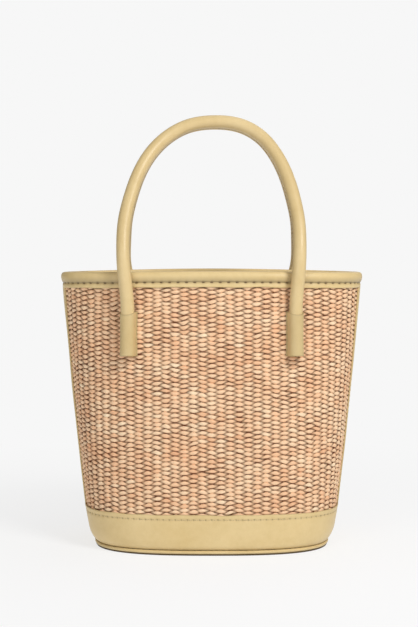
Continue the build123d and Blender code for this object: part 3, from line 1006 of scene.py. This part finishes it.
def sleeve(node, joint_y, side, x):
    """A leather loop round a handle's end, sewn down along both its edges."""
    name = f"{node}_leather"
    low, high = SLEEVE_LOW.z + SLEEVE_RAISED, SLEEVE_HIGH.z
    rows, columns = 42, 49
    radius = HANDLE_RADIUS + SLEEVE_LEATHER
    step = 0.5 * MM
    rise = wall_depth(abs(x) - step, high, 0) - wall_depth(abs(x) + step, high, 0)
    turn = math.atan2(rise, 2 * step)
    tangent = np.array([math.cos(turn), -side * math.copysign(math.sin(turn), x), 0.0])
    outward = np.array([math.copysign(math.sin(turn), x), side * math.cos(turn), 0.0])
    back = -(joint_y - wall_depth(abs(x), high, STRAW_FACE)) * math.cos(turn)

    def centre(z):
        """The handle's middle, which follows the sloping wall."""
        lean = wall_depth(abs(x), z, 0) - wall_depth(abs(x), high, 0)
        return np.array([x, side * (joint_y + lean), z])

    def section(z, thickness):
        """Across and outward places of one row, from flange to flange."""
        r = radius - (SLEEVE_LEATHER - thickness)
        flare = 1 + 0.02 * math.cos((z - low) / (high - low) * 2 * math.pi)
        places = []
        for number in range(columns):
            share = number / (columns - 1) * 2 - 1
            reach = abs(share)
            edge = radius + (OUTER_FLANGE if share * x > 0 else INNER_FLANGE)
            if reach > FLANGE_FROM:
                along = (reach - FLANGE_FROM) / (1 - FLANGE_FROM)
                across = mix(r + 0.12 * MM, edge, along)
                out = back + thickness + 0.1 * MM * (1 - along)
            elif reach > ROUND_TO:
                along = (reach - ROUND_TO) / (FLANGE_FROM - ROUND_TO)
                across = mix(r, r + 0.12 * MM, along * along)
                out = mix(0.0, back + thickness + 0.1 * MM, along)
            else:
                angle = reach / ROUND_TO * math.pi / 2
                across = r * math.sin(angle)
                out = r * math.cos(angle)
            places.append((math.copysign(across, share) * flare, out))
        return places

    def grid(thickness):
        """The sleeve's points at one thickness. Its ends slope where it stands out from the straw."""
        points = np.empty((rows, columns, 3))
        for row in range(rows):
            share = row / (rows - 1)
            for column, (across, out) in enumerate(section(mix(low, high, share), thickness)):
                dome = max(0.0, out) / radius
                top = high + 0.9 * MM - 2.3 * MM * dome
                bottom = low - 0.2 * MM + 0.5 * MM * dome
                z = mix(bottom, top, share)
                points[row, column] = centre(z) + tangent * across + outward * out
        return points

    outer, inner = grid(SLEEVE_LEATHER), grid(0.05 * MM)
    places = np.linspace(-1, 1, columns)[None]
    shares = np.linspace(0, 1, rows)[:, None]
    on_flange = bump(np.abs(places) - 0.88, 0.05)
    hole = bump(nearest_stitch(shares, 1 / SLEEVE_STITCHES), 0.018) * on_flange
    # Painted shade all over, in the stitch holes, in the creases where the loop turns into its flanges and on
    # the hidden inner face; the top and bottom edges are darker too.
    shade = 0.24 + 0.5 * hole + 0.22 * bump(np.abs(places) - FLANGE_FROM, 0.035)
    shade = shade + 0.35 * bump(shares - 1, 0.02) + 0.3 * bump(shares, 0.02)
    leather_slab(name, node, outer, inner, shade, 0.2)
    marks = (np.arange(SLEEVE_STITCHES) + 0.5) / SLEEVE_STITCHES * (rows - 1)
    flange_column = round(0.06 * (columns - 1))
    for number, column in enumerate((flange_column, columns - 1 - flange_column)):
        line = [np.interp(marks, np.arange(rows), outer[:, column, axis]) for axis in range(3)]
        middles = np.array(line).T + outward * THREAD_LIFT
        ways = np.tile(centre(high) - centre(low), (len(marks), 1))
        stitches(f"{name}_stitches_{number}", middles, ways, np.tile(outward, (len(marks), 1)),
                 1.3 * MM, radius=0.18 * MM, sink=0.35 * MM)


for face, side, shift in HANDLES:
    joint_y = abs(JOINTS[f"{face}_handle_swing"]["pos_m"][1])
    sleeve(f"{face}_left_sleeve", joint_y, side, shift - FOOT_X)
    sleeve(f"{face}_right_sleeve", joint_y, side, shift + FOOT_X)


# ---- Base board ----

# The board keeps its CAD shape and takes a material of its own.
board_materials = frame["nodes"]["base_board"].data.materials
board_materials.clear()
board_materials.append(BOARD)


# ---- Floor, light and camera ----

BACKGROUND = 0.93
FILL = 0.15                   # light from all round
FLOOR_GLOW = 0.7              # the share of the floor's brightness that takes no shadow
NEAR_GLOW = 1.12              # how much brighter that share is beside the bag
FADE = (0.1, 0.6)             # distances between which the floor fades into the background


def studio_floor():
    """A pale disc that takes the object's soft shadow and fades into the background."""
    shader = Shader("studio_floor", Base_Color=(0.86, 0.86, 0.86, 1), Roughness=0.9,
                    Specular_IOR_Level=0.1)
    where = shader.where()
    distance = shader.add("VectorMath", {"operation": "LENGTH"}, n0=where).outputs["Value"]
    fade = shader.spread(distance, *FADE, FLOOR_GLOW, 1.0)
    glow = shader.add("Emission", Color=(BACKGROUND, BACKGROUND, BACKGROUND, 1),
                      Strength=shader.spread(distance, *FADE, NEAR_GLOW, 1.0))
    mixed = shader.add("MixShader", Fac=fade, n1=shader.principled.outputs[0], n2=glow.outputs[0])
    shader.links.new(mixed.outputs[0], shader.nodes["Material Output"].inputs["Surface"])
    bpy.ops.mesh.primitive_circle_add(vertices=96, radius=6.0, fill_type="NGON")
    floor = bpy.context.object
    floor.name = "studio_floor"
    floor.data.materials.append(shader.material)


def area_light(name, place, aim, size, power):
    data = bpy.data.lights.new(name, "AREA")
    data.shape = "DISK"
    data.size = size
    data.energy = power
    lamp = bpy.data.objects.new(name, data)
    lamp.location = place
    lamp.rotation_euler = (Vector(aim) - Vector(place)).to_track_quat("-Z", "Y").to_euler()
    bpy.context.scene.collection.objects.link(lamp)


def world():
    """Soft white light from all round, behind a plain background that the camera sees."""
    made = bpy.data.worlds.new("studio")
    made.use_nodes = True
    nodes, links = made.node_tree.nodes, made.node_tree.links
    seen, fill = nodes["Background"], nodes.new("ShaderNodeBackground")
    for source, strength in ((seen, BACKGROUND), (fill, FILL)):
        source.inputs["Color"].default_value = (1, 1, 1, 1)
        source.inputs["Strength"].default_value = strength
    path = nodes.new("ShaderNodeLightPath")
    mixed = nodes.new("ShaderNodeMixShader")
    links.new(path.outputs["Is Camera Ray"], mixed.inputs[0])
    links.new(fill.outputs[0], mixed.inputs[1])
    links.new(seen.outputs[0], mixed.inputs[2])
    links.new(mixed.outputs[0], nodes["World Output"].inputs["Surface"])
    bpy.context.scene.world = made


CAMERA_PLACE = (-2.2 * MM, -1.2, 0.246)
CAMERA_DROP = 2.69            # degrees below level
CAMERA_LENS = 82.25           # millimetres, on a sensor 36 mm wide

studio_floor()
world()
area_light("key", (0.75, -1.0, 1.15), (0, 0, 0.15), 0.6, 15.5)
area_light("front_fill", (-0.6, -1.4, 0.7), (0, 0, 0.15), 0.9, 5.4)
area_light("top", (0.1, 0.15, 1.3), (0, 0, 0.1), 0.9, 2.0)
area_light("behind", (0.4, 1.3, 1.0), (0, 0, 0.15), 1.0, 2.5)

camera_data = bpy.data.cameras.new("camera")
camera_data.lens = CAMERA_LENS
camera_data.sensor_width = 36
camera = bpy.data.objects.new("camera", camera_data)
camera.location = CAMERA_PLACE
camera.rotation_euler = (math.radians(90 - CAMERA_DROP), 0, 0)
bpy.context.scene.collection.objects.link(camera)
bpy.context.scene.camera = camera
bpy.context.scene.view_settings.view_transform = "Standard"
